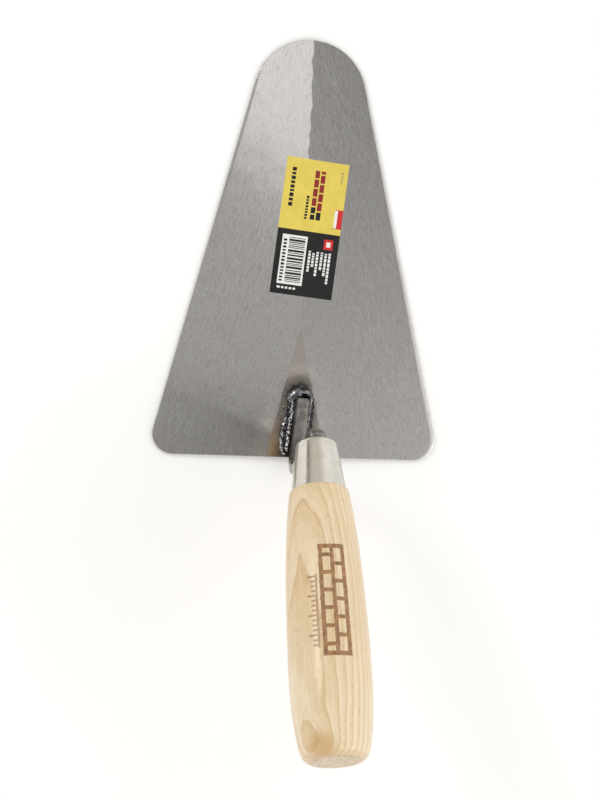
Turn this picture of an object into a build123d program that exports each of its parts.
"""Brick trowel: a taper-ground steel blade, a forged swan neck welded to it, and a wooden handle
driven onto the neck's tang behind a plated ferrule.

Millimetres. The origin is the middle of the blade's flat underside. +Y runs along the blade to
the tip, +Z is up, away from the underside, and +X is to the right of someone who holds the
handle and looks towards the tip. Each piece is written to parts/ as a STEP file of its own.
"""

from build123d import *
from math import asin, atan2, cos, degrees, hypot, radians, sin
import os

# Blade, cut from sheet and ground thinner towards its edges
BLADE_LENGTH = 180.0  # heel edge to tip
BLADE_WIDTH = 125.0  # across the two heel corners
TIP_RADIUS = 25.0
CORNER_RADIUS = 8.8
BLADE_THICKNESS = 2.2  # of the unground sheet under the neck
TIP_THICKNESS = 1.6  # on the ridge, at the tip
GRIND_APEX = 57.0  # from the heel edge to where the two ground facets meet
GRIND_HALF_WIDTH = 13.3  # half the width of the unground triangle, at the heel edge
EDGE_BREAK = 0.25  # chamfer round the whole edge, above and below

# Handle and ferrule: where their axis starts, and how it leans
HANDLE_FORWARD = 10.4  # from the heel edge forward to the ferrule's front
HANDLE_RISE = 46.2  # from the blade's underside up to the same point
HANDLE_TILT = 29.7  # degrees above the blade's plane
HANDLE_LENGTH = 132.6  # ferrule front to butt

# Ferrule, a tapered cup drawn from sheet
FERRULE_LENGTH = 22.0
FERRULE_FRONT_RADIUS = 8.5
FERRULE_REAR_RADIUS = 11.4
FERRULE_SHOULDER = 2.0  # rounding of its front corner
FERRULE_WALL = 0.6
FERRULE_HOLE_CLEARANCE = 0.3  # round the neck, where it goes in
NOSE_FIT = 0.0  # gap between the wooden nose and the ferrule: driven on

# Handle profile: radii at stations measured from the ferrule's front. The swell is held to the
# butt, so a shorter or longer handle changes between the throat and the palm.
SHOULDER_STEP = 0.8  # the wood stands this much proud of the ferrule's rear edge
SHOULDER_RADIUS = FERRULE_REAR_RADIUS + SHOULDER_STEP
SHOULDER_ROUND = 0.6
THROAT_STATION = 39.8
THROAT_RADIUS = 14.2
PALM_STATION = HANDLE_LENGTH - 66.6
PALM_RADIUS = 15.7
BELLY_STATION = HANDLE_LENGTH - 39.6
BELLY_RADIUS = 16.3  # the thickest place
HEEL_STATION = HANDLE_LENGTH - 19.6
HEEL_RADIUS = 15.8
BUTT_ROUND_STATION = HANDLE_LENGTH - 8.0  # where the butt's rounding starts
BUTT_ROUND_RADIUS = 14.4
BUTT_FACE_RADIUS = 8.6  # flat end grain

# Neck, forged from bar: a flat foot on the blade, a swan neck, and a tang in the handle
BAR_WIDTH = 7.0
BAR_HEIGHT = 6.0
BAR_CORNER = 2.2
FOOT_LENGTH = 26.3  # from the heel edge forward to the bar's front end
FOOT_EDGE = 0.5  # chamfer round the bar's front end
HEEL_BEND_START = 3.0  # ahead of the heel edge, where the bar turns up
LOWER_BEND = 7.0  # radius at the bar's centre line
UPPER_BEND = 5.5  # radius at the bar's centre line
NECK_OFFSET = 0.8  # the neck stands this far to the right of the handle's axis
NECK_TURN = 4.0  # degrees that the foot is turned to the right, seen from above
TANG_LENGTH = 66.0  # from the ferrule's front to the tang's point
TANG_ROOT_RADIUS = 2.9
TANG_POINT_RADIUS = 1.2
TANG_FIT = 0.0  # gap between the tang and its bore in the wood: driven in
TANG_HOLE_SPARE = 1.5  # the bore goes this much deeper than the tang

# Weld beads: rods of weld metal with round ends, sunk part way into the blade
BEAD_ROOT = 0.2  # how far a side bead's centre line stands out from the bar's flank
BEAD_REACH = 1.0  # how far weld metal gets in under the bar's rounded lower edges
LEFT_BEAD_RADIUS = 3.3
LEFT_BEAD_SINK = 0.9
LEFT_BEAD_START = 3.6  # from the heel edge
LEFT_BEAD_END = 24.0
RIGHT_BEAD_RADIUS = 2.6
RIGHT_BEAD_SINK = 0.8
RIGHT_BEAD_START = 12.0
RIGHT_BEAD_END = 24.0
FRONT_BEAD_RADIUS = 4.6
FRONT_BEAD_SINK = 0.9
FRONT_BEAD_LEFT = 2.5  # left end of its centre line, from the middle of the bar
FRONT_BEAD_RIGHT = 0.4  # right end, also left of the middle
FRONT_BEAD_AHEAD = 0.3  # ahead of the bar's front end

# Paper label, stuck over the ridge
LABEL_WIDTH = 27.5
LABEL_LENGTH = 59.0
LABEL_CORNER = 0.6
LABEL_THICKNESS = 0.15
LABEL_FROM_TIP = 80.5  # tip to the label's middle
LABEL_OFFSET = 1.9  # to the right of the ridge
LABEL_TURN = -5.3  # degrees, clockwise seen from above

# Places that follow from the sizes above
HEEL_Y = -BLADE_LENGTH / 2
TIP_Y = BLADE_LENGTH / 2
FERRULE_Y = HEEL_Y + HANDLE_FORWARD
NOSE_FRONT = FERRULE_WALL + NOSE_FIT
FOOT_CENTRE_Z = BLADE_THICKNESS + BAR_HEIGHT / 2
CUTTER = 4 * (BLADE_LENGTH + BLADE_WIDTH)  # larger than the whole trowel

# Where things are drawn: handle_place has the handle's axis as its Z, pointing to the butt;
# neck_place has the foot's length as its Y and the height above the underside as its Z.
handle_place = Plane(
    origin=(0, FERRULE_Y, HANDLE_RISE),
    x_dir=(1, 0, 0),
    z_dir=(0, -cos(radians(HANDLE_TILT)), sin(radians(HANDLE_TILT))),
).location
neck_place = Plane(
    origin=(NECK_OFFSET, FERRULE_Y, 0),
    x_dir=(cos(radians(NECK_TURN)), -sin(radians(NECK_TURN)), 0),
    z_dir=(0, 0, 1),
).location


def blade_outline():
    """Outline of the blade: two heel corners and a round tip, joined by tangent sides."""
    corner_x = BLADE_WIDTH / 2 - CORNER_RADIUS
    corner_y = HEEL_Y + CORNER_RADIUS
    tip_y = TIP_Y - TIP_RADIUS
    rise = tip_y - corner_y
    lean = degrees(atan2(corner_x, rise))
    swing = degrees(asin((TIP_RADIUS - CORNER_RADIUS) / hypot(corner_x, rise)))
    side_normal = lean - swing

    def on_arc(centre_x, centre_y, radius, angle):
        turn = radians(angle)
        return (centre_x + radius * cos(turn), centre_y + radius * sin(turn))

    side_low = on_arc(corner_x, corner_y, CORNER_RADIUS, side_normal)
    side_high = on_arc(0, tip_y, TIP_RADIUS, side_normal)
    corner_mid = on_arc(corner_x, corner_y, CORNER_RADIUS, (side_normal - 90) / 2)
    heel_end = (corner_x, HEEL_Y)
    right = [
        Line((0, HEEL_Y), heel_end),
        ThreePointArc(heel_end, corner_mid, side_low),
        Line(side_low, side_high),
        ThreePointArc(side_high, on_arc(0, tip_y, TIP_RADIUS, (side_normal + 90) / 2), (0, TIP_Y)),
    ]
    left = [mirror(line, about=Plane.YZ) for line in right]
    return make_face(right + left)


def ground_sheet(lift=0.0):
    """The blade's body: the outline with two facets ground down from the ridge to the edges.

    With a lift, its top is that much higher everywhere, as for something stuck onto it.
    """
    fall_ahead = (BLADE_THICKNESS - TIP_THICKNESS) / (BLADE_LENGTH - GRIND_APEX)
    fall_across = fall_ahead * GRIND_APEX / GRIND_HALF_WIDTH
    body = extrude(blade_outline(), BLADE_THICKNESS + lift, dir=(0, 0, 1))
    apex = (0, HEEL_Y + GRIND_APEX, BLADE_THICKNESS + lift)
    for side in (-1, 1):
        facet = Plane(origin=apex, z_dir=(side * fall_across, fall_ahead, 1))
        above = Box(CUTTER, CUTTER, CUTTER, align=(Align.CENTER, Align.CENTER, Align.MIN))
        body = body - facet.location * above
    return body


def make_blade():
    """The ground sheet, with its edge broken above and below."""
    body = ground_sheet()
    walls = [face for face in body.faces() if abs(face.normal_at().Z) < 0.1]
    rim = [edge for wall in walls for edge in wall.edges() if abs((edge % 0.5).Z) < 0.5]
    return chamfer(rim, EDGE_BREAK)


def neck_path():
    """Centre line of the bar, from its front end on the blade up to the ferrule's front."""
    foot_front = FOOT_LENGTH - HANDLE_FORWARD
    bend_start = HEEL_BEND_START - HANDLE_FORWARD
    handle_heading = radians(180 - HANDLE_TILT)
    lower = (bend_start, FOOT_CENTRE_Z + LOWER_BEND)
    upper = (
        -UPPER_BEND * sin(handle_heading),
        HANDLE_RISE + UPPER_BEND * cos(handle_heading),
    )
    gap = hypot(upper[0] - lower[0], upper[1] - lower[1])
    climb = atan2(upper[1] - lower[1], upper[0] - lower[0])
    climb -= asin((LOWER_BEND + UPPER_BEND) / gap)
    riser_low = (lower[0] - LOWER_BEND * sin(climb), lower[1] + LOWER_BEND * cos(climb))
    riser_high = (upper[0] + UPPER_BEND * sin(climb), upper[1] - UPPER_BEND * cos(climb))
    foot = Line((foot_front, FOOT_CENTRE_Z), (bend_start, FOOT_CENTRE_Z))
    lower_arc = JernArc(foot @ 1, foot % 1, LOWER_BEND, degrees(climb) - 180)
    riser = Line(riser_low, riser_high)
    upper_arc = JernArc(riser @ 1, riser % 1, UPPER_BEND, degrees(handle_heading - climb))
    entry = Line(upper_arc @ 1, (upper_arc @ 1) + (upper_arc % 1) * 2 * NOSE_FRONT)
    return Plane.YZ * Wire([foot, lower_arc, riser, upper_arc, entry])


def tang_spike(gap=0.0, spare=0.0):
    """The tang, along +Z from the wood's front; with a gap and some spare it is the bore."""
    start = Pos(0, 0, NOSE_FRONT)
    length = TANG_LENGTH - NOSE_FRONT
    low = (Align.CENTER, Align.CENTER, Align.MIN)
    spike = Cone(TANG_ROOT_RADIUS + gap, TANG_POINT_RADIUS + gap, length, align=low)
    if spare:
        drill = Cylinder(TANG_POINT_RADIUS + gap, spare, align=low)
        spike = spike + Pos(0, 0, length) * drill
    return start * spike


def make_neck():
    """Foot, swan neck and tang, forged in one piece."""
    path = neck_path()
    start = Plane(origin=path @ 0, x_dir=(1, 0, 0), z_dir=path % 0)
    section = start * RectangleRounded(BAR_WIDTH, BAR_HEIGHT, BAR_CORNER)
    bar = sweep(section, path=path)
    front = bar.faces().sort_by(Axis.Y)[-1]
    bar = chamfer(front.edges(), FOOT_EDGE)
    beyond_nose = Box(CUTTER, CUTTER, CUTTER, align=(Align.CENTER, Align.CENTER, Align.MIN))
    bar = neck_place * bar - handle_place * (Pos(0, 0, NOSE_FRONT) * beyond_nose)
    return bar + handle_place * tang_spike()


def ferrule_form(inset):
    """Outside of the ferrule, along +Z from its front, made smaller all round by an inset."""
    low = (Align.CENTER, Align.CENTER, Align.MIN)
    taper = (FERRULE_REAR_RADIUS - FERRULE_FRONT_RADIUS) / FERRULE_LENGTH
    front_radius = FERRULE_FRONT_RADIUS + taper * inset - inset
    rear_radius = FERRULE_REAR_RADIUS - inset
    cone = Cone(front_radius, rear_radius, FERRULE_LENGTH - inset, align=low)
    front_rim = cone.edges().sort_by(Axis.Z)[0]
    cone = fillet(front_rim, FERRULE_SHOULDER - inset)
    return Pos(0, 0, inset) * cone


def make_ferrule():
    """A tapered cup, open behind, with a round hole in its front for the neck."""
    half_width = BAR_WIDTH / 2 - BAR_CORNER
    half_height = BAR_HEIGHT / 2 - BAR_CORNER
    bar_reach = hypot(half_width, half_height) + BAR_CORNER + NECK_OFFSET
    hole = Cylinder(bar_reach + FERRULE_HOLE_CLEARANCE, 4 * FERRULE_WALL)
    cup = ferrule_form(0) - ferrule_form(FERRULE_WALL) - hole
    return handle_place * cup


def make_handle():
    """Turned handle: a nose inside the ferrule, a swelling grip, a rounded butt, and a bore."""
    shoulder = (SHOULDER_RADIUS, FERRULE_LENGTH)
    grip = Spline(
        shoulder,
        (THROAT_RADIUS, THROAT_STATION),
        (PALM_RADIUS, PALM_STATION),
        (BELLY_RADIUS, BELLY_STATION),
        (HEEL_RADIUS, HEEL_STATION),
        (BUTT_ROUND_RADIUS, BUTT_ROUND_STATION),
    )
    rounding = Spline(
        grip @ 1,
        (BUTT_FACE_RADIUS, HANDLE_LENGTH),
        tangents=[grip % 1, (-1, 0)],
    )
    butt = Line(rounding @ 1, (0, HANDLE_LENGTH))
    core = Line((0, HANDLE_LENGTH), (0, FERRULE_LENGTH))
    step = Line((0, FERRULE_LENGTH), shoulder)
    profile = Plane.XZ * make_face([grip, rounding, butt, core, step])
    turned = revolve(profile, Axis.Z)
    shoulder_rim = turned.edges().filter_by(GeomType.CIRCLE).sort_by(Axis.Z)[0]
    turned = fillet(shoulder_rim, SHOULDER_ROUND)
    nose = ferrule_form(NOSE_FRONT)
    wood = turned + nose - tang_spike(TANG_FIT, TANG_HOLE_SPARE)
    return handle_place * wood


def bead(start, end, radius, sink):
    """A rod with round ends between two points in plan, above the middle of the sheet."""
    centre_z = BLADE_THICKNESS - sink
    low = Vector(start[0], start[1] - HANDLE_FORWARD, centre_z)
    along = Vector(end[0] - start[0], end[1] - start[1], 0)
    length = along.length
    side = Line((radius, 0), (radius, length))
    dome = RadiusArc((radius, length), (0, length + radius), -radius)
    cup = RadiusArc((0, -radius), (radius, 0), -radius)
    middle = Line((0, length + radius), (0, -radius))
    rod = revolve(Plane.XZ * make_face([cup, side, dome, middle]), Axis.Z)
    rod = Plane(origin=low, z_dir=along).location * rod
    above = Box(CUTTER, CUTTER, CUTTER, align=(Align.CENTER, Align.CENTER, Align.MIN))
    return neck_place * (rod & (Pos(0, 0, BLADE_THICKNESS / 2) * above))


def make_beads(blade, neck):
    """Front, left and right weld beads, each lying against the blade, the neck and the front."""
    flank = BAR_WIDTH / 2 + BEAD_ROOT
    front_y = FOOT_LENGTH + FRONT_BEAD_AHEAD
    front = bead(
        (-FRONT_BEAD_LEFT, front_y), (-FRONT_BEAD_RIGHT, front_y), FRONT_BEAD_RADIUS, FRONT_BEAD_SINK
    )
    left = bead(
        (-flank, LEFT_BEAD_START), (-flank, LEFT_BEAD_END), LEFT_BEAD_RADIUS, LEFT_BEAD_SINK
    )
    right = bead(
        (flank, RIGHT_BEAD_START), (flank, RIGHT_BEAD_END), RIGHT_BEAD_RADIUS, RIGHT_BEAD_SINK
    )
    dry_joint = Box(
        BAR_WIDTH - 2 * BEAD_REACH, CUTTER, BAR_HEIGHT, align=(Align.CENTER, Align.MAX, Align.CENTER)
    )
    dry_end = FOOT_LENGTH - HANDLE_FORWARD - BEAD_REACH
    solid_part = blade + neck_place * (Pos(0, dry_end, BLADE_THICKNESS) * dry_joint) + neck
    front = front - solid_part
    left = left - solid_part - front
    right = right - solid_part - front
    return front, left, right


def make_label():
    """A paper rectangle that follows both facets and bends over the ridge."""
    outline = RectangleRounded(LABEL_WIDTH, LABEL_LENGTH, LABEL_CORNER)
    place = Pos(LABEL_OFFSET, TIP_Y - LABEL_FROM_TIP, 0) * Rot(0, 0, LABEL_TURN)
    column = place * extrude(outline, BLADE_THICKNESS + 2 * LABEL_THICKNESS)
    return (ground_sheet(LABEL_THICKNESS) & column) - ground_sheet()


def main():
    blade = make_blade()
    neck = make_neck()
    bead_front, bead_left, bead_right = make_beads(blade, neck)
    pieces = {
        "blade": blade,
        "neck": neck,
        "weld_bead_front": bead_front,
        "weld_bead_left": bead_left,
        "weld_bead_right": bead_right,
        "ferrule": make_ferrule(),
        "handle": make_handle(),
        "label": make_label(),
    }
    os.makedirs("parts", exist_ok=True)
    for node, shape in pieces.items():
        export_step(shape, f"parts/{node}.step")
        print(f"{node}: {len(shape.solids())} solid, {shape.volume:.1f} mm3")


main()
